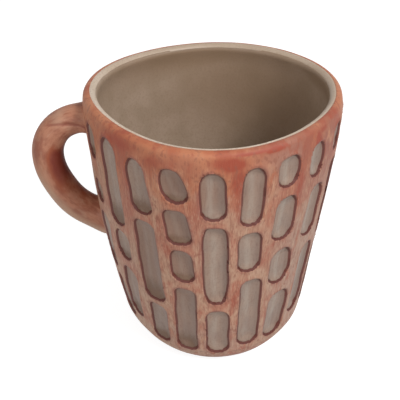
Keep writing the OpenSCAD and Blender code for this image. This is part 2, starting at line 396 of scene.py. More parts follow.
@dataclass
class CupShape:
    """Measurements of the cup, with leans and turns in degrees, and the surfaces that its pieces share."""

    height: float = 100 * MM
    foot_flat_radius: float = 26 * MM
    heel_radius: float = 10 * MM
    shoulder_radius: float = 30 * MM
    wall: float = 5 * MM
    slab: float = 7 * MM
    coil_radius: float = 9 * MM
    low_lean: float = 10.0
    high_lean: float = 5.0
    lip_lean: float = 8.0
    liner: float = 0.5 * MM
    columns: int = 19
    first_column: float = 200.0
    column_step: float = 320 / 18
    column_twist: float = 4.0
    back_lag: float = 3.0
    low_corner_share: float = 0.95
    carve_step: float = 0.55 * MM
    carve_hollow: float = 1.45 * MM
    side_width: float = 0.35 * MM
    ridge_share: float = 0.2
    ridge_width: float = 1.3 * MM
    ridge_places: tuple[float, float] = (-0.2, 0.5)
    crispness: float = 6
    burr: float = 0.14 * MM
    burr_reach: float = 0.5 * MM

    def __post_init__(self) -> None:
        """Works out the four arcs of the outside, which run into one another."""
        low, high, lip = self.low_lean, self.high_lean, self.lip_lean
        low_sine, high_sine, lip_sine = [math.sin(math.radians(lean)) for lean in (low, high, lip)]
        self.lip_radius = self.wall / 2
        self.heel_centre = (self.foot_flat_radius, self.heel_radius)
        drop = self.heel_radius - self.slab
        self.slab_edge = (self.foot_flat_radius + math.sqrt(self.heel_radius**2 - drop**2), self.slab)
        foot = on_circle(self.heel_centre, self.heel_radius, -low)
        shoulder_z = self.height - self.lip_radius * (1 - lip_sine)
        shoulder_z -= self.shoulder_radius * (lip_sine + high_sine)
        self.belly_radius = (shoulder_z - foot[1]) / (low_sine - high_sine)
        self.belly_centre = on_circle(foot, -self.belly_radius, -low)
        reach = self.belly_radius - self.shoulder_radius
        self.shoulder_centre = on_circle(self.belly_centre, reach, -high)
        self.lip_centre = on_circle(self.shoulder_centre, self.shoulder_radius - self.lip_radius, lip)
        inner = self.belly_radius - self.wall - self.coil_radius
        coil_z = self.slab + self.liner + self.coil_radius
        self.coil_turn = math.degrees(math.asin((coil_z - self.belly_centre[1]) / inner))
        self.coil_centre = (on_circle(self.belly_centre, inner, self.coil_turn)[0], coil_z)

    def wall_radius(self, z: Grid) -> Grid:
        """Radius of the outside of the belly at a height."""
        return self.belly_centre[0] + np.sqrt(self.belly_radius**2 - (z - self.belly_centre[1]) ** 2)

    def outside(self, step: float) -> list[Point]:
        """Outline of the outside, from the foot's edge up to the crest of the lip."""
        return [
            (self.foot_flat_radius, 0.0),
            *arc(self.heel_centre, self.heel_radius, -90, -self.low_lean, step),
            *arc(self.belly_centre, self.belly_radius, -self.low_lean, -self.high_lean, step),
            *arc(self.shoulder_centre, self.shoulder_radius, -self.high_lean, self.lip_lean, step),
            *arc(self.lip_centre, self.lip_radius, self.lip_lean, 90, step / 2),
        ]

    def inside(self, back: float, start: float, step: float) -> list[Point]:
        """Outline of the inside face, from a turn of the lip down to the coil.

        Args:
            back: Distance that the line is set back into the clay.
            start: Turn of the lip where the line starts, in degrees from outwards.
            step: Largest distance between two points.

        Returns:
            The points, from the lip down.
        """
        shoulder = self.shoulder_radius - self.wall + back
        belly = self.belly_radius - self.wall + back
        return [
            *arc(self.lip_centre, self.lip_radius - back, start, 180 + self.lip_lean, step / 2),
            *arc(self.shoulder_centre, shoulder, self.lip_lean, -self.high_lean, step),
            *arc(self.belly_centre, belly, -self.high_lean, self.coil_turn, step),
        ]

    def floor_line(self, back: float, step: float) -> list[Point]:
        """Outline of the coil's hollow and the floor, in to the axis."""
        floor_z = self.slab + self.liner - back
        line = arc(self.coil_centre, self.coil_radius + back, self.coil_turn, -90, step)
        reach = self.coil_centre[0]
        count = math.ceil(reach / (4 * step))
        return line + [(reach * (1 - (i + 1) / count), floor_z) for i in range(count)]

    def squeeze(self, places: Grid) -> Grid:
        """Presses the round plan into the mug's soft three-cornered one, most at the foot and the lip."""
        theta, reach, z = polar(places)
        share = np.clip(z / self.height, 0, 1)
        low, middle, high = (1 - share) * (1 - 2 * share), 4 * share * (1 - share), share * (2 * share - 1)
        swell = 0
        for lobe in LOBES:
            rise = lobe.foot * low + lobe.waist * middle + lobe.lip * high
            swell = swell + rise * np.cos(lobe.count * (theta - math.radians(lobe.peak)))
        return widen(places, 1 + swell / 100 * np.clip(reach / self.lip_centre[0] * 1.5, 0, 1))

    def smear_share(self, smear: Stain, theta: Grid, z: Grid) -> Grid:
        """How strong one smear is at some angles and heights."""
        across = turn_from(theta, math.radians(smear.turn)) * self.lip_centre[0] / MM
        along = z / MM - smear.height_mm
        spread = (across / smear.half_width_mm) ** 2 + (along / smear.half_height_mm) ** 2
        return smear.strength * np.exp(-spread)

    def swelling(self, theta: Grid, z: Grid) -> Grid:
        """How far the outside stands out from its turned form."""
        return self.dent(theta, z) + MM * sum(self.smear_share(bulge, theta, z) for bulge in BULGES)

    def dent(self, theta: Grid, z: Grid) -> Grid:
        """Low waves that the potter's hands left in the wall, as a distance outwards."""
        height = z / self.height
        slow = ripple(3 * theta + 5 * height + 1, 5 * theta - 9 * height + 2, 2 * theta + 14 * height)
        quick = ripple(11 * theta + 17 * height, 17 * theta - 31 * height + 4, 7 * theta + 40 * height + 2)
        return 0.22 * MM * slow + 0.08 * MM * quick

    def column_angle(self, column: int, z: Grid) -> Grid:
        """Angle of the middle of a column of windows at a height, in radians."""
        lean = self.column_twist * (0.5 - z / self.height)
        last, in_view = self.columns - 1, len(WINDOW_COLUMNS) - 1
        lag = self.back_lag * (last - column) / (last - in_view) if column >= in_view else 0
        return np.radians(self.first_column + column * self.column_step + lean + lag)

    def window_span(self, window: Window) -> Point:
        """Height of the middle of a window, and half its length."""
        low, high = window.low_share, window.high_share
        return self.height * (high + low) / 2, self.height * (high - low) / 2

    def window_shift(self, column: int, window: Window) -> float:
        """How far a window that the photograph shows stands to the right of its column's middle."""
        return window.shift_mm * MM if column < len(WINDOW_COLUMNS) else 0.0

    def window_place(
        self, column: int, window: Window, theta: Grid, z: Grid
    ) -> tuple[Grid, Grid, Grid, float]:
        """Places in a window's own frame.

        Args:
            column: Number of the window's column.
            window: The window.
            theta: Angles round the axis, in radians.
            z: Heights.

        Returns:
            Distances to the right and up from its middle, half its width there, and half its height.
        """
        middle, half_height = self.window_span(window)
        away = turn_from(theta, self.column_angle(column, z))
        across = away * self.wall_radius(z) - self.window_shift(column, window)
        along = z - middle
        tilt = math.radians(window.tilt)
        side = across * math.cos(tilt) + along * math.sin(tilt)
        rise = along * math.cos(tilt) - across * math.sin(tilt)
        half_width = window.width_mm * MM / 2 * (1 + window.taper * rise / half_height)
        return side, rise, half_width, half_height

    def ridges(self, column: int, window: Window, theta: Grid, z: Grid) -> Grid:
        """How near each place lies to the low ridges between the carving tool's strokes, from 0 to 1."""
        side, rise, half_width, half_height = self.window_place(column, window, theta, z)
        drift = 0.06 * np.sin(220 * rise + 3 * column) + 0.05 * math.sin(5 * column + 40 * window.low_share)
        near = (side / half_width - self.ridge_places[0] - drift) * half_width / self.ridge_width
        far = (side / half_width - self.ridge_places[1] + drift) * half_width / self.ridge_width
        ends = smooth(1.0, 0.6, abs(rise) / half_height)
        return ends * (np.exp(-(near**2)) + 0.4 * np.exp(-(far**2)))

    def window_form(self, column: int, window: Window, theta: Grid, z: Grid) -> tuple[Grid, Grid, Grid]:
        """Works out one window's outline and the facets of its floor.

        Args:
            column: Number of the window's column.
            window: The window.
            theta: Angles round the axis, in radians.
            z: Heights.

        Returns:
            Distances along the wall from the window's edge, negative inside, shares of the full hollow, and
            how near each place is to the window's lower end, from 0 to 1.
        """
        side, rise, half_width, half_height = self.window_place(column, window, theta, z)
        if window.form.value > 2:
            power = window.form.value
            wide, tall = abs(side) / half_width, abs(rise) / half_height
            squash = (wide**power + tall**power) ** (1 / power)
            steepness = np.hypot(wide ** (power - 1) / half_width, tall ** (power - 1) / half_height)
            steepness = steepness / np.maximum(squash, 0.2) ** (power - 1)
            distance = (squash - 1) / np.maximum(steepness, 0.5 / half_height)
        else:
            corner = half_width * window.form.value * np.where(rise < 0, self.low_corner_share, 1)
            past_side = np.maximum(abs(side) - half_width + corner, 0)
            arch = np.where(rise > 0, window.arch, 1)
            past_end = np.maximum((abs(rise) - half_height) / arch + corner, 0)
            inner = np.maximum(abs(side) - half_width, abs(rise) - half_height)
            distance = np.where(past_side + past_end > 0, np.hypot(past_side, past_end) - corner, inner)
        wobble = ripple(320 * z + 7 * column, 280 * side + 3 * column + 150 * z, 560 * z - 350 * side)
        under = smooth(4 * MM, 1.5 * MM, half_height + rise)
        chatter = ripple(side / MM * 4.3 + column, side / MM * 2.9) * under
        distance = distance + 0.2 * MM * wobble + 0.13 * MM * chatter
        turn = math.sin(5.0 * column + 40 * window.low_share)
        facets = (
            (half_width + side) / ((3.1 + 0.7 * turn) * MM),
            (half_width - side) / ((2.3 - 0.6 * turn) * MM),
            (half_height - abs(rise)) / (3.2 * MM),
            np.ones_like(side),
        )
        blend = sum(np.exp(-self.crispness * np.clip(facet, 0, 2)) for facet in facets)
        share = -np.log(blend) / self.crispness
        share = np.clip(share, 0, 1) * (1 - self.ridge_share * self.ridges(column, window, theta, z))
        return distance, share, under

    def carving(self, theta: Grid, z: Grid) -> tuple[Grid, Grid, Grid]:
        """What window_form says about the nearest window."""
        nearest = np.full(theta.shape, 20 * MM)
        hollow, under = np.zeros(theta.shape), np.zeros(theta.shape)
        for column in range(self.columns):
            away = turn_from(theta, self.column_angle(column, z))
            index = np.nonzero(abs(away) < math.radians(self.column_step))[0]
            for window in WINDOW_COLUMNS[column % len(WINDOW_COLUMNS)]:
                distance, share, low = self.window_form(column, window, theta[index], z[index])
                closer = distance < nearest[index]
                nearest[index[closer]] = distance[closer]
                hollow[index[closer]] = share[closer]
                under[index[closer]] = low[closer]
        return nearest, hollow, under

    def smeared(self, smears: tuple[Stain, ...], theta: Grid, z: Grid) -> Grid:
        """How strongly some smears cover the wall at some angles and heights."""
        return np.max([self.smear_share(smear, theta, z) for smear in smears], axis=0)

    def depth(self, distance: Grid, hollow: Grid) -> Grid:
        """How deep the clay is carved, at a distance from a window's edge and a share of its hollow."""
        step = self.carve_step * smooth(0, self.side_width, -distance)
        burr = self.burr * np.exp(-(((distance - self.burr_reach) / self.burr_reach) ** 2) * 3)
        return np.where(distance < 0, step + self.carve_hollow * hollow, -burr)

    def outer_place(self, theta: Grid, z: Grid, sink: Grid) -> Grid:
        """Places on the belly's outside, sunk into the wall, before the plan is squeezed."""
        lean = np.arcsin((self.belly_centre[1] - z) / self.belly_radius)
        reach = self.wall_radius(z) + self.swelling(theta, z) - sink * np.cos(lean)
        return from_polar(theta, reach, z + sink * np.sin(lean))


class Nodes:
    """The node tree of one material or of the world, built up node by node."""

    def __init__(self, owner: bpy.types.Material | bpy.types.World) -> None:
        """Starts an empty tree."""
        self.owner = owner
        owner.use_nodes = True
        self.tree = owner.node_tree
        self.tree.nodes.clear()

    def node(
        self, kind: str, output: int | str = 0, settings: dict | None = None, **inputs: object
    ) -> Socket | None:
        """Adds a node with its settings, and sets or links its inputs.

        Args:
            kind: The node's type, without its ShaderNode prefix.
            output: Name or number of the output to give back.
            settings: Properties of the node itself.
            **inputs: Values or sockets, by input name with underscores for spaces, or i0, i1 by number.

        Returns:
            The chosen output socket of the new node, or nothing where it has none.
        """
        made = self.tree.nodes.new("ShaderNode" + kind)
        for name, value in (settings or {}).items():
            setattr(made, name, value)
        for name, value in inputs.items():
            key = int(name[1:]) if name[0] == "i" and name[1:].isdigit() else name.replace("_", " ")
            if isinstance(value, bpy.types.NodeSocket):
                self.tree.links.new(value, made.inputs[key])
            else:
                made.inputs[key].default_value = value
        return made.outputs[output] if made.outputs else None

    def pattern(
        self, grain_mm: float, upright: float = 1, detail: float = 4, source: Socket | None = None
    ) -> Socket:
        """A cloudy pattern from 0 to 1.

        Args:
            grain_mm: Size of its grain.
            upright: Scale along the height, where less than 1 draws the grain out into streaks.
            detail: How many finer layers it has.
            source: Coordinates that it follows, which are the piece's own if none are given.

        Returns:
            The pattern's value.
        """
        source = source or self.node("TexCoord", "Object")
        drawn = self.node("Mapping", Vector=source, Scale=(1, 1, upright))
        return self.node("TexNoise", Vector=drawn, Scale=1 / (grain_mm * MM), Detail=detail)

    def coats(self, ground: str | Socket, *layers: tuple) -> Socket:
        """Lays coats of colour over one another, each thick where all its covers say so.

        Args:
            ground: The colour below them, as a hex colour or a socket.
            *layers: For each coat its hex colour, its greatest share and its covers. A cover is a value,
                the value at which the coat begins, and the value at which it is full.

        Returns:
            The mixed colour.
        """
        smoothly = {"interpolation_type": "SMOOTHSTEP"}
        colour = linear(ground) if isinstance(ground, str) else ground
        for paint, share, *covers in layers:
            for value, begin, full in covers:
                ends = {"From_Min": begin, "From_Max": full, "To_Max": share}
                share = self.node("MapRange", 0, smoothly, Value=value, **ends)
            colour = self.node("Mix", 2, {"data_type": "RGBA"}, i0=share, i6=colour, i7=linear(paint))
        return colour

    def finish(
        self, colour: Socket, roughness: float, relief: Socket, depth_mm: float
    ) -> bpy.types.Material:
        """Ends the material in a shader of fired clay or glaze with a fine relief.

        Args:
            colour: Its colour.
            roughness: Its roughness.
            relief: Height of the relief, from 0 to 1.
            depth_mm: Depth of the relief.

        Returns:
            The finished material.
        """
        bump = self.node("Bump", Height=relief, Distance=depth_mm * MM, Strength=1.0)
        shader = self.node("BsdfPrincipled", Base_Color=colour, Roughness=roughness, IOR=1.5, Normal=bump)
        self.node("OutputMaterial", Surface=shader)
        return self.owner


@dataclass(frozen=True)
class BrushedSlip:
    """Iron-bearing slip, brushed in orange and salmon coats over tan clay. It fires matte and streaky."""

    tan: str = "#b68d74"
    salmon: str = "#ad6f58"
    orange: str = "#bb7149"
    red: str = "#96402a"
    umber: str = "#915240"
    # Painted shade colour laid on the land just outside the windows.
    painted_shade_plum: str = "#874b42"
    # Dark line of the window edges, also laid low on the foot as a painted contact shadow.
    line: str = "#5e2c22"
    burnt: str = "#521a0a"
    straw: str = "#c59168"
    fibre: str = "#834b39"
    pale: str = "#c8a78d"
    rubbed: str = "#a98d7e"
    fibre_mm: float = 0.34
    roughness: float = 0.6

    def build(self, name: str) -> bpy.types.Material:
        """Builds the material, in which the edges of the carved windows turn dark, painted shade lies on
        the land beside them and a painted contact shadow darkens the foot's lowest few mm.
        """
        slip = Nodes(bpy.data.materials.new(name))
        fibres = slip.pattern(self.fibre_mm, 0.08, 3.0)
        flecks = slip.pattern(1.6, 0.6, 6.0)
        streaks = slip.pattern(0.8, 0.06, 3.0)
        broad = slip.pattern(2.0, 0.35)
        clouds = slip.pattern(12.0)
        blots = slip.pattern(6.0, 0.7, 5.0)
        height = slip.node("SeparateXYZ", "Z", Vector=slip.node("TexCoord", "Object"))
        edge_places = slip.node("Attribute", "Vector", {"attribute_name": "edge"})
        edge, under = [slip.node("SeparateXYZ", axis, Vector=edge_places) for axis in "XY"]
        smears = slip.node("Attribute", "Vector", {"attribute_name": "smears"})
        stain, wash, rubbed = [slip.node("SeparateXYZ", axis, Vector=smears) for axis in "XYZ"]
        roughen = {"operation": "MULTIPLY_ADD"}
        ragged_height = slip.node("Math", 0, roughen, i0=blots, i1=0.04, i2=height)
        ragged_stain = slip.node("Math", 0, roughen, i0=flecks, i1=0.6, i2=stain)
        ragged_edge = slip.node("Math", 0, roughen, i0=broad, i1=-0.3, i2=edge)
        colour = slip.coats(
            self.tan,
            (self.salmon, 0.9, (clouds, 0.38, 0.62)),
            (self.orange, 0.75, (ragged_height, 0.09, 0.116)),
            (self.straw, 0.45, (flecks, 0.5, 0.64), (height, 0.085, 0.095)),
            (self.umber, 0.95, (wash, 0.0, 1.0), (blots, 0.3, 0.5)),
            (self.umber, 0.6, (flecks, 0.53, 0.64), (height, 0.084, 0.092)),
            (self.pale, 0.6, (broad, 0.38, 0.7), (height, 0.09, 0.04)),
            (self.red, 0.4, (blots, 0.52, 0.66), (broad, 0.6, 0.4)),
            (self.rubbed, 0.65, (rubbed, 0.0, 0.9), (broad, 0.3, 0.52)),
            (self.red, 0.35, (clouds, 0.52, 0.64), (height, 0.084, 0.092)),
            (self.red, 0.95, (ragged_stain, 0.33, 1.15)),
            (self.red, 0.5, (height, 0.0976, 0.0992), (blots, 0.5, 0.62)),
            # Painted shade on the land just outside each window's edge.
            (self.painted_shade_plum, 0.55, (edge, 1.5, 0.2), (blots, 0.62, 0.4)),
            (self.fibre, 0.5, (fibres, 0.5, 0.3), (height, 0.1, 0.088)),
            (self.pale, 0.45, (fibres, 0.55, 0.72), (height, 0.1, 0.07)),
            (self.fibre, 0.4, (streaks, 0.48, 0.3), (height, 0.1, 0.09)),
            (self.pale, 0.3, (streaks, 0.55, 0.72), (height, 0.1, 0.08)),
            (self.fibre, 0.5, (flecks, 0.42, 0.32)),
            (self.line, 1.0, (ragged_edge, -0.05, -0.25)),
            # Painted contact shadow along the foot's lowest few mm.
            (self.line, 0.75, (height, 0.0045, 0.002)),
            (self.burnt, 0.9, (ragged_edge, 0.12, -0.1), (under, 0.1, 0.7)),
        )
        relief = slip.node("Math", 0, {"operation": "ADD"}, i0=fibres, i1=slip.pattern(0.5))
        return slip.finish(colour, self.roughness, relief, 0.05)


@dataclass(frozen=True)
class HandleSlip:
    """The same slip on the handle, brushed along it, paler on top, with a painted highlight along the lower
    arm's outer side, stained red inside the bend with painted shade there, and painted shade in the crease.
    """

    salmon: str = "#ae755a"
    brown: str = "#905640"
    # Pale slip, also laid as a painted highlight along the lower arm's outer side.
    pale: str = "#bd967d"
    fibre: str = "#82442f"
    # Red stain on the side facing the wall, darkened there as painted shade.
    rust_and_painted_shade: str = "#954a2a"
    # Dark red stain inside the bend, partly painted shade, and painted shade in the crease.
    stain: str = "#742b1c"
    fibre_mm: float = 0.7
    roughness: float = 0.6

    def build(self, name: str) -> bpy.types.Material:
        """Builds the material, whose streaks follow the handle as if it were still straight."""
        slip = Nodes(bpy.data.materials.new(name))
        straight = slip.node("Attribute", "Vector", {"attribute_name": "straight"})
        # inner: red stain with painted shade; crease: painted shade; under: painted highlight.
        inner, worn, crease, under = [
            slip.node("Attribute", "Fac", {"attribute_name": mark})
            for mark in ("inner", "worn", "crease", "under")
        ]
        fibres = slip.pattern(self.fibre_mm, 0.15, 3.0, straight)
        broad = slip.pattern(2.4, 0.3, 5.0, straight)
        clouds = slip.pattern(6.0, 0.5, 5.0, straight)
        colour = slip.coats(
            self.brown,
            (self.salmon, 1.0, (clouds, 0.38, 0.56)),
            (self.fibre, 0.6, (broad, 0.5, 0.3)),
            (self.pale, 0.4, (broad, 0.55, 0.75)),
            (self.fibre, 0.25, (fibres, 0.48, 0.3)),
            (self.pale, 0.2, (fibres, 0.55, 0.75)),
            (self.pale, 0.65, (worn, 0.05, 0.8), (broad, 0.35, 0.5)),
            # Painted highlight along the outer side of the lower arm.
            (self.pale, 0.85, (under, 0.0, 0.9), (clouds, 0.25, 0.45)),
            # Red stain inside the bends, darkened there as painted shade.
            (self.rust_and_painted_shade, 0.8, (inner, 0.0, 0.4), (clouds, 0.62, 0.4)),
            (self.stain, 0.92, (inner, 0.25, 0.85), (broad, 0.1, 0.45)),
            # Painted shade along the crease.
            (self.stain, 0.6, (crease, 0.2, 1.0), (broad, 0.2, 0.45)),
        )
        return slip.finish(colour, self.roughness, slip.pattern(0.5), 0.08)


@dataclass(frozen=True)
class SatinGlaze:
    """Satin glaze over stoneware. It gives a soft sheen, faint specks and brown where it thins; in windows
    it also carries a painted highlight on the crests, painted shade on the right sides and low hollows, and
    pools painted darker in the shady columns as painted shade.
    """

    body: str = "#9a806f"
    cool: str = "#917c6e"
    brown: str = "#67402f"
    warm: str = "#7f5d4b"
    # Painted highlight colour for the crests in the windows.
    pale: str = "#b3a698"
    # Painted shade colour for the windows' right sides and low hollows.
    painted_shade_mauve: str = "#7d6459"
    olive: str = "#63462c"
    speck_share: float = 0.25
    roughness: float = 0.45

    def build(self, name: str, edged: bool) -> bpy.types.Material:
        """Builds the material.

        Args:
            name: Name of the material.
            edged: Whether the glaze lies in a carved window, where it browns towards the edges.

        Returns:
            The finished material.
        """
        glaze = Nodes(bpy.data.materials.new(name))
        clouds = glaze.pattern(9.0, 1.0, 3.0)
        warmth = glaze.node("Attribute", "Fac", {"attribute_name": "warm"})
        colour = glaze.coats(
            self.body,
            (self.cool, 1.0, (clouds, 0.35, 0.65)),
            (self.brown, self.speck_share, (glaze.pattern(0.8), 0.45, 0.7)),
            (self.warm, 0.8, (warmth, 0.0, 1.0)),
        )
        if edged:
            strokes = glaze.pattern(0.7, 0.12, 2.0)
            edge, pool, crest, steep = [
                glaze.node("Attribute", "Fac", {"attribute_name": mark})
                for mark in ("carve_mm", "pool", "crest", "steep")
            ]
            roughen = {"operation": "MULTIPLY_ADD"}
            ragged = glaze.node("Math", 0, roughen, i0=clouds, i1=0.3, i2=edge)
            lowered = glaze.node("Math", 0, roughen, i0=pool, i1=-0.5, i2=ragged)
            colour = glaze.coats(
                colour,
                # Painted highlight: pale on the crests between strokes, strongest in the lit columns.
                (self.pale, 0.34, (crest, 0.0, 1.0)),
                # Painted shade on the windows' right sides and in the low windows' hollows.
                (self.painted_shade_mauve, 0.5, (steep, 0.0, 1.0)),
                (self.brown, 0.2, (strokes, 0.5, 0.3)),
                # Brown glaze pooled low in the windows, painted darker in the shady columns as painted
                # shade.
                (self.olive, 0.75, (pool, 0.1, 1.3), (clouds, 0.2, 0.45)),
                (self.brown, 0.4, (pool, 0.2, 1.0), (glaze.pattern(0.6), 0.45, 0.65)),
                (self.brown, 0.7, (lowered, -0.85, -0.35)),
            )
        return glaze.finish(colour, self.roughness, glaze.pattern(1.2, 1.0, 3.0), 0.06)


@dataclass
class Cup:
    """The slab, wall, coil and glazes of the cup.

    Brown glaze pools low in the windows, painted darker in the shady columns as painted shade, and the
    crests between strokes carry a painted highlight, strongest in the lit columns; the two shares after
    each kind of column give the pool's and the highlight's strength in that order.
    """

    shape: CupShape
    turns: int = 500
    coil_turns: int = 120
    liner_turns: int = 240
    liner_start: float = 130
    step: float = 0.56 * MM
    carved_share: float = 0.965
    edge_reach_mm: float = 6
    shady_columns: int = 4
    shady_shares: Point = (1.6, 0.45)
    lit_shares: Point = (0.35, 1.0)
    low_window_share: float = 0.2
    glaze_border: float = 0.32 * MM
    glaze_rise: float = 0.31 * MM
    glaze_sink: float = 0.06 * MM
    glaze_thickness: float = 0.3 * MM
    glaze_row: float = 0.5 * MM
    glaze_faces: int = 28
    search_steps: int = 60
    search_share: float = 1.3

    def add(self, piece: bpy.types.Object, material: bpy.types.Material, slot: str, *nodes: str) -> None:
        """Gives a finished piece its material and fixes it to the mug in place of CAD nodes."""
        piece.data.materials.append(material)
        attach(piece, "root")
        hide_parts(*nodes)
        LOG.info("%s: %d faces", piece.name, len(piece.data.polygons))

    def carve(self, places: Grid) -> Grid:
        """Leans the columns, snaps vertices to the carved edges and sinks the windows."""
        shape = self.shape
        theta, reach, z = polar(places)
        outer = (reach > shape.wall_radius(z) - shape.wall / 2) & (z < self.carved_share * shape.height)
        theta = theta + np.radians(shape.column_twist) * (0.5 - z / shape.height)
        nudge = 0.05 * MM
        for edge, snap in ((0.0, 0.3 * MM), (-shape.side_width, 0.2 * MM)):
            radius = shape.wall_radius(z)
            distance = shape.carving(theta, z)[0] - edge
            across = (shape.carving(theta + nudge / radius, z)[0] - edge - distance) / nudge
            along = (shape.carving(theta, z + nudge)[0] - edge - distance) / nudge
            slope = np.maximum(across**2 + along**2, 0.2)
            near = outer & (abs(distance) < snap)
            theta = np.where(near, theta - distance * across / slope / radius, theta)
            z = np.where(near, z - distance * along / slope, z)
        sink = shape.depth(*shape.carving(theta, z)[:2])
        carved = shape.outer_place(theta, z, sink)
        swell = 1 + shape.swelling(theta, z) / np.maximum(reach, 20 * MM)
        plain = from_polar(theta, reach * swell, z)
        return np.where((outer & (abs(sink) > shape.burr / 20))[:, None], carved, plain)

    def brush(self, piece: bpy.types.Object, material: bpy.types.Material, node: str) -> None:
        """Carves a piece of the outside, marks where its slip changes, presses its plan and adds it."""
        shape = self.shape
        move(piece, self.carve(places_of(piece)))
        theta, reach, z = polar(places_of(piece))
        distance, _, under = shape.carving(theta, z)
        outer = reach > shape.wall_radius(z) - shape.wall / 2
        far = self.edge_reach_mm
        distance = np.where(outer, np.clip(distance / MM, -far, far), far)
        smears = [shape.smeared(kind, theta, z) for kind in (RED_STAINS, BROWN_WASHES, RUBBED)]
        edge = [distance, under, np.zeros_like(under)]
        store(piece, edge=np.stack(edge, axis=1), smears=np.stack(smears, axis=1))
        move(piece, shape.squeeze(places_of(piece)))
        self.add(piece, material, "brushed_slip", node)

    def build_wall(self, material: bpy.types.Material) -> None:
        """Makes the wall with its carved windows and the outer half of the lip."""
        shape, step = self.shape, self.step
        outside = [p for p in shape.outside(step) if p[1] > shape.slab + step / 2]
        inside = [p for p in shape.inside(shape.liner, 90, 10 * step) if p[1] > shape.slab + step]
        crest, corner = (shape.lip_centre[0], shape.height - shape.liner), (inside[-1][0], shape.slab)
        outline = [shape.slab_edge, *outside, crest, *inside, corner, shape.slab_edge]
        self.brush(lathe("cup_wall_clay", outline, self.turns), material, "cup_wall")

    def build_base(self, material: bpy.types.Material) -> None:
        """Makes the slab under the wall with its rounded heel."""
        shape, step = self.shape, self.step
        heel = [p for p in shape.outside(step) if p[1] < shape.slab - step / 2]
        under = [(0.0, 0.0), (shape.foot_flat_radius / 2, 0.0)]
        outline = [*under, *heel, shape.slab_edge, (0.0, shape.slab)]
        self.brush(lathe("base_slab_clay", outline, self.turns), material, "base_slab")

    def build_coil(self, material: bpy.types.Material) -> None:
        """Makes the coil pressed into the corner under the liner."""
        shape, step = self.shape, 2 * MM
        hollow = arc(shape.coil_centre, shape.coil_radius + shape.liner, shape.coil_turn, -90, step)
        corner = (shape.inside(shape.liner, 90, step)[-1][0] - 1.5 * MM, shape.slab)
        coil = lathe("floor_coil_clay", [*hollow, corner, hollow[0]], self.coil_turns)
        move(coil, shape.squeeze(places_of(coil)))
        self.add(coil, material, "bare_clay", "floor_coil")

    def build_liner(self, material: bpy.types.Material) -> None:
        """Makes the glaze that lines the cup, with the faint waves of the hand-smoothed inside."""
        shape, step = self.shape, 1.0 * MM
        front, back = [
            shape.inside(depth, self.liner_start, step) + shape.floor_line(depth, step)
            for depth in (0, shape.liner)
        ]
        liner = lathe("liner_glaze_coat", [*front, *reversed(back), front[0]], self.liner_turns)
        theta, _, z = polar(places_of(liner))
        store(liner, warm=shape.smeared(WARM_GLAZES, theta, z))
        move(liner, widen(places_of(liner), 1 + shape.dent(theta + 1, z * 0.8) / (60 * MM)))
        move(liner, shape.squeeze(places_of(liner)))
        self.add(liner, material, "liner_glaze", "liner_glaze")

    def build_lip_band(self, material: bpy.types.Material) -> None:
        """Makes the pale band on the inner side of the lip."""
        shape, rows = self.shape, 12
        start, end = 84.0, 152.0
        angles = [start + (end - start) * i / rows for i in range(rows + 1)]
        front = [on_circle(shape.lip_centre, shape.lip_radius, angle) for angle in angles]
        back = [on_circle(shape.lip_centre, shape.lip_radius - shape.liner, angle) for angle in angles]
        band = lathe("lip_band_glaze", [*front, *reversed(back), front[0]], self.turns)
        theta, _, z = polar(places_of(band))
        store(band, warm=shape.smeared(WARM_GLAZES, theta, z))
        move(band, self.settle(places_of(band)))
        move(band, shape.squeeze(places_of(band)))
        self.add(band, material, "lip_glaze", "lip_band")

    def settle(self, places: Grid) -> Grid:
        """Sinks the outer edge of the lip's band into the clay along an uneven line."""
        shape = self.shape
        theta, reach, z = polar(places)
        across, rise = reach - shape.lip_centre[0], z - shape.lip_centre[1]
        edge = 91 + 5 * ripple(3 * theta + 1, 7 * theta + 2, 16 * theta, 29 * theta)
        proud = 0.16 * MM * smooth(0, 10, np.degrees(np.arctan2(rise, across)) - edge) - 0.05 * MM
        skin = np.hypot(across, rise) > shape.lip_radius - shape.liner / 2
        swell = np.where(skin, 1 + proud / shape.lip_radius, 1)
        reach = shape.lip_centre[0] + across * swell + shape.swelling(theta, z)
        return from_polar(theta, reach, shape.lip_centre[1] + rise * swell)

    def build_window_glaze(self, column: int, material: bpy.types.Material) -> None:
        """Makes the glaze that lies in one column of windows."""
        windows = WINDOW_COLUMNS[column % len(WINDOW_COLUMNS)]
        patches = [self.glaze_patch(column, window) for window in windows]
        glaze = patches[0]
        make_active(glaze)
        for patch in patches:
            patch.select_set(True)
        bpy.ops.object.join()
        glaze.name = f"window_glaze_coat_{column + 1}"
        move(glaze, self.shape.squeeze(places_of(glaze)))
        make_active(glaze)
        bpy.ops.object.shade_smooth()
        self.add(glaze, material, "window_glaze", f"window_glaze_{column + 1}")

    def glaze_patch(self, column: int, window: Window) -> bpy.types.Object:
        """Makes the glaze of one window as a thin closed skin on the carved floor."""
        shape = self.shape
        middle, half_height = shape.window_span(window)
        rows = math.ceil(2 * half_height / self.glaze_row)
        deselect()
        bpy.ops.mesh.primitive_grid_add(x_subdivisions=self.glaze_faces, y_subdivisions=rows, size=2)
        patch = bpy.context.object
        move(patch, self.lay(column, window, places_of(patch)))
        theta, _, z = polar(places_of(patch))
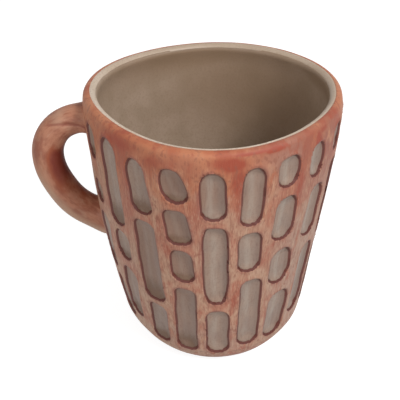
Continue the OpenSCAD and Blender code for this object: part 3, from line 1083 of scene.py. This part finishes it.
        # Shady columns get a darker pool, partly painted shade; lit columns get a stronger painted
        # highlight on the crests.
        pool_share, painted_highlight_share = self.shady_shares if column < self.shady_columns else self.lit_shares
        store(
            patch,
            carve_mm=shape.window_form(column, window, theta, z)[0] / MM,
            pool=pool_share * smooth(0.25, 1, (middle - z) / half_height),
            warm=shape.smeared(WARM_GLAZES, theta, z),
            crest=painted_highlight_share * shape.ridges(column, window, theta, z),
            # Painted shade share: each window's right side and a low window's hollow.
            steep=self.steepness(column, window, theta, z),
        )
        edit(patch)
        bpy.ops.mesh.remove_doubles(threshold=MM / 100)
        bpy.ops.object.mode_set(mode="OBJECT")
        apply_modifier(patch, "SOLIDIFY", thickness=self.glaze_thickness, offset=-1.0)
        return patch

    def lay(self, column: int, window: Window, places: Grid) -> Grid:
        """Lays a flat grid in a window, with its border along the carved edge.

        Args:
            column: Number of the window's column.
            window: The window.
            places: Places of the grid, from -1 to 1 both ways.

        Returns:
            The places on the carved floor, raised by the glaze's thickness.
        """
        shape = self.shape
        middle, half_height = shape.window_span(window)
        half_width = window.width_mm * MM / 2 * (1 + abs(window.taper))
        along = np.sin(places[:, 1] * math.pi / 2) * (half_height - self.glaze_border)
        z = middle + along
        base, radius = shape.column_angle(column, z), shape.wall_radius(z)
        lean = shape.window_shift(column, window) - along * math.tan(math.radians(window.tilt))
        room = {-1: np.zeros(len(along)), 1: np.zeros(len(along))}
        for reach in np.linspace(0, self.search_share * half_width, self.search_steps):
            for way in room:
                tried = base + (lean + way * reach) / radius
                inside = shape.window_form(column, window, tried, z)[0] < -self.glaze_border
                room[way] = np.where(inside, reach, room[way])
        side = np.sin(places[:, 0] * math.pi / 2)
        theta = base + (lean + side * np.where(side > 0, room[1], room[-1])) / radius
        distance, hollow, _ = shape.window_form(column, window, theta, z)
        coat = self.glaze_rise * smooth(0.2 * MM, 0.9 * MM, -distance) - self.glaze_sink
        return shape.outer_place(theta, z, shape.depth(distance, hollow) - coat)

    def steepness(self, column: int, window: Window, theta: Grid, z: Grid) -> Grid:
        """Where painted shade goes: across the right side of each window, and in a patch low in the hollow
        of a low window.
        """
        side, rise, half_width, half_height = self.shape.window_place(column, window, theta, z)
        spread = (side / half_width / 0.6) ** 2 + ((rise / half_height + 0.35) / 0.3) ** 2
        hollow = 0.9 * np.exp(-spread) if window.low_share < self.low_window_share else 0.0
        return np.maximum(smooth(0, 0.9, side / half_width), hollow)


@dataclass
class Handle:
    """The pulled handle and the slip smoothed round its two ends."""

    shape: CupShape
    top_z: float = 88.7 * MM
    run: float = 0.8 * MM
    upper_bend: float = 14.7 * MM
    lower_bend: float = 29.5 * MM
    lower_turn: float = 58.0
    top_thickness: float = 10.5 * MM
    low_thickness: float = 12 * MM
    width: float = 12.5 * MM
    crease: float = 0.5 * MM
    crease_start: float = 4.62
    crease_climb: tuple[float, float] = (0.5, 0.9)
    # Turn of the middle line where the inner stain and its painted shade are strongest.
    stain_and_shade_turn: float = 1.6
    grain_length: float = 90 * MM
    flare: float = 1.8 * MM
    flare_reach: float = 4 * MM
    sides: int = 72
    end_rows: int = 10
    root: float = 1.5 * MM
    wall_lean: float = 7.6

    def path(self, steps: int) -> list[Place]:
        """Middle line as distance from the axis, height and turn down in degrees.

        Its last point stands once for each row that runs on into the wall.
        """
        wall_radius = float(self.shape.wall_radius(self.top_z))
        upper = (wall_radius + self.run, self.top_z - self.upper_bend)
        lower = (upper[0] + self.upper_bend - self.lower_bend, upper[1])
        line = [(wall_radius + self.run * (i / 4), self.top_z, 0.0) for i in range(-3, 4)]
        for i in range(steps + 1):
            turn = 90 * i / steps
            line.append((*on_circle(upper, self.upper_bend, 90 - turn), turn))
        for i in range(1, steps + 1):
            turn = self.lower_turn * i / steps
            line.append((*on_circle(lower, self.lower_bend, -turn), 90 + turn))
        return line + line[-1:] * self.end_rows

    def past_crease(self, turn: Grid, round_angle: Grid) -> Grid:
        """How far round the line each place lies past the crease, which climbs along the bend."""
        climb, bend = self.crease_climb
        return round_angle - self.crease_start - climb * turn - bend * turn**2

    def pull(self, line: Grid, index: Grid, round_angle: Grid) -> Grid:
        """Wraps the handle round its middle line and runs its last rows on into the wall.

        Args:
            line: The middle line, as path gives it.
            index: Number of each place's point of the line.
            round_angle: Each place's angle round the line.

        Returns:
            The new places.
        """
        turn = np.radians(line[index, 2])
        share = (1 - np.cos(2 * np.minimum(turn, math.pi / 2))) / 2
        thickness = self.top_thickness + (self.low_thickness - self.top_thickness) * share
        body = index / (len(line) - 1)
        waves = ripple(9 * body + 2 * round_angle, 17 * body + round_angle, 27 * body + 3 * round_angle)
        past = self.past_crease(turn, round_angle)
        crease = np.exp(-((past / 0.14) ** 2))
        ledge = np.exp(-(((past - 0.35) / 0.3) ** 2))
        upper = smooth(0.95, 0.7, turn)
        knead = 0.25 * MM * waves + upper * (0.5 * self.crease * ledge - self.crease * crease)
        across = np.cos(round_angle) * (thickness / 2 + knead)
        side = np.sin(round_angle) * (self.width / 2 + knead)
        reach = line[index, 0] + np.sin(turn) * across
        z = line[index, 1] + np.cos(turn) * across
        low = math.radians(self.lower_turn)
        closing = math.sin(low) - math.tan(math.radians(self.wall_lean)) * math.cos(low)
        gap = reach - self.shape.wall_radius(z) + self.root
        slide = np.clip((index - len(line) + 1 + self.end_rows) / self.end_rows, 0, 1) * gap / closing
        reach = reach - slide * math.sin(low)
        z = z - slide * math.cos(low)
        away = reach - self.shape.wall_radius(np.clip(z, 0, self.shape.height)) + 0.5 * side**2 / reach
        flare = self.flare * (1 - np.clip(away / self.flare_reach, 0, 1)) ** 2.4
        side = side * (1 + flare / (self.width / 2))
        lift = np.where(np.cos(round_angle) > 0, 1.2, -0.1)
        z = z + np.where(turn > math.pi / 2, lift, 0.2) * np.cos(round_angle) * flare
        return np.stack([-reach, side, z], axis=1)

    def mark(self, piece: bpy.types.Object, turn: Grid, round_angle: Grid, along: Grid) -> None:
        """Keeps where the slip changes, where painted shade and a painted highlight go, and where each
        place would lie on a straight, upright handle.

        Args:
            piece: The handle, still a flat grid.
            turn: Turn of the middle line at each place, in radians.
            round_angle: Each place's angle round the line.
            along: Each place's share of the length, from -1 to 1.
        """
        across = np.cos(round_angle)
        radius = self.width / 2
        # Red stain with painted shade on the wall-facing side, inside the bends.
        upper_stain_and_shade = np.exp(-(((turn - self.stain_and_shade_turn) / 0.48) ** 2))
        lower_stain_and_shade = 0.42 * np.exp(-(((along - 0.5) / 0.3) ** 2))
        # Painted shade along the crease under the top face.
        crease = np.exp(-((self.past_crease(turn, round_angle) / 0.13) ** 2))
        straight = [radius * across, radius * np.sin(round_angle), self.grain_length * along / 2]
        store(
            piece,
            inner=smooth(0.2, -0.6, across) * np.maximum(upper_stain_and_shade, lower_stain_and_shade),
            # Painted highlight share along the outer side of the lower arm.
            under=smooth(-0.1, 0.4, along) * smooth(-0.2, 0.7, across),
            straight=np.stack(straight, axis=1),
            crease=crease * smooth(0.95, 0.7, turn),
        )

    def build(self, material: bpy.types.Material, cup: Cup) -> None:
        """Makes the handle as one tube that flares where it meets the wall."""
        line = np.array(self.path(40))
        rows = len(line) - 1
        deselect()
        bpy.ops.mesh.primitive_grid_add(x_subdivisions=self.sides, y_subdivisions=rows, size=2)
        piece = bpy.context.object
        piece.name = "handle_clay"
        flat = places_of(piece)
        index = np.rint((flat[:, 1] + 1) / 2 * rows).astype(int)
        round_angle = (flat[:, 0] + 1) * math.pi
        self.mark(piece, np.radians(line[index, 2]), round_angle, flat[:, 1])
        move(piece, self.pull(line, index, round_angle))
        close_and_smooth(piece, open_ends=True)
        outermost = float(self.shape.wall_radius(self.top_z)) + self.run + self.upper_bend
        worn_spot = np.array([6 * MM - outermost, -3 * MM, self.top_z + 1 * MM])
        away = np.linalg.norm(places_of(piece) - worn_spot, axis=1) / (4 * MM)
        store(piece, worn=0.7 * np.exp(-(away**2)))
        cup.add(piece, material, "handle_slip", "handle", "upper_handle_slip", "lower_handle_slip")


@dataclass(frozen=True)
class Lamp:
    """A square soft light that faces the mug."""

    name: str
    place: Place
    size: float
    power: float


@dataclass
class Studio:
    """Plain white floor, soft light and the camera at the photograph's angle."""

    frame_pixels: int = 400
    focal_pixels: float = 923.0
    camera_place: Place = (-0.005, -0.3036, 0.2425)
    camera_target: Place = (-0.005, 0.0, 0.0529)
    lamp_target: Place = (0, 0, 0.05)
    lamps: tuple[Lamp, ...] = (
        Lamp("key", (0.52, -0.52, 0.78), 0.3, 7.5),
        Lamp("fill", (-0.45, -0.95, 0.35), 0.7, 3.9),
    )
    floor_size: float = 4.0
    paper: str = "#a0a0a0"
    glow: float = 0.88
    sky: float = 0.345

    def put(
        self, name: str, data: bpy.types.Camera | bpy.types.Light, place: Place, target: Place
    ) -> bpy.types.Object:
        """Stands a camera or a light at a place, so that it faces a target."""
        thing = bpy.data.objects.new(name, data)
        bpy.context.scene.collection.objects.link(thing)
        thing.location = place
        aim = Vector(target) - Vector(place)
        thing.rotation_euler = aim.to_track_quat("-Z", "Y").to_euler()
        return thing

    def build_camera(self) -> None:
        """Sets up the camera with the photograph's field of view."""
        data = bpy.data.cameras.new("camera")
        data.lens = data.sensor_width * self.focal_pixels / self.frame_pixels
        bpy.context.scene.camera = self.put("camera", data, self.camera_place, self.camera_target)

    def build_lamp(self, lamp: Lamp) -> None:
        """Adds one soft light."""
        data = bpy.data.lights.new(lamp.name, "AREA")
        data.energy = lamp.power
        data.size = lamp.size
        self.put(lamp.name, data, lamp.place, self.lamp_target)

    def seen(self, tree: Nodes) -> Socket:
        """Gives 1 to what the camera sees straight, in a gloss or through glass, and 0 to what lights."""
        camera, glossy, through = [
            tree.node("LightPath", f"Is {ray} Ray") for ray in ("Camera", "Glossy", "Transmission")
        ]
        either = tree.node("Math", 0, {"operation": "MAXIMUM"}, i0=camera, i1=glossy)
        return tree.node("Math", 0, {"operation": "MAXIMUM"}, i0=either, i1=through)

    def build_floor(self) -> None:
        """Lays the white floor, which shows as pure white to the camera where no shadow falls."""
        deselect()
        bpy.ops.mesh.primitive_plane_add(size=self.floor_size)
        floor = bpy.context.object
        floor.name = "floor"
        paper = Nodes(bpy.data.materials.new("white_paper_floor"))
        matte = paper.node("BsdfDiffuse", Color=linear(self.paper))
        strength = paper.node("Math", 0, {"operation": "MULTIPLY"}, i0=self.seen(paper), i1=self.glow)
        glow = paper.node("Emission", Color=(1, 1, 1, 1), Strength=strength)
        paper.node("OutputMaterial", Surface=paper.node("AddShader", i0=matte, i1=glow))
        floor.data.materials.append(paper.owner)

    def build_world(self) -> None:
        """Fills the scene with even pale light that shows as white."""
        world = Nodes(bpy.data.worlds.new("studio"))
        bpy.context.scene.world = world.owner
        fill = world.node("Background", Color=(1, 1, 1, 1), Strength=self.sky)
        white = world.node("Background", Color=(1, 1, 1, 1), Strength=1.0)
        mixed = world.node("MixShader", i0=self.seen(world), i1=fill, i2=white)
        world.node("OutputWorld", Surface=mixed)

    def build(self) -> None:
        """Builds the whole set."""
        self.build_camera()
        self.build_floor()
        self.build_world()
        for lamp in self.lamps:
            self.build_lamp(lamp)
        bpy.context.scene.view_settings.view_transform = "Standard"


def main() -> None:
    """Builds the mug and its set in order."""
    logging.basicConfig(level=logging.INFO)
    Studio().build()
    shape = CupShape()
    cup = Cup(shape)
    slip = BrushedSlip().build("brushed_slip_matte")
    cup.build_wall(slip)
    cup.build_base(slip)
    cup.build_coil(slip)
    liner = SatinGlaze(body="#ad9784", cool="#a38e7a", brown="#806752", warm="#80674f", roughness=0.5)
    cup.build_liner(liner.build("liner_satin_glaze", False))
    lip = SatinGlaze(body="#d8c6b3", cool="#ccb9a4", brown="#a58b76", warm="#a28c77", speck_share=0.5)
    cup.build_lip_band(lip.build("lip_satin_glaze", False))
    window_glaze = SatinGlaze().build("window_satin_glaze", True)
    for column in range(shape.columns):
        cup.build_window_glaze(column, window_glaze)
    Handle(shape).build(HandleSlip().build("handle_slip_matte"), cup)


if __name__ == "__main__":
    main()
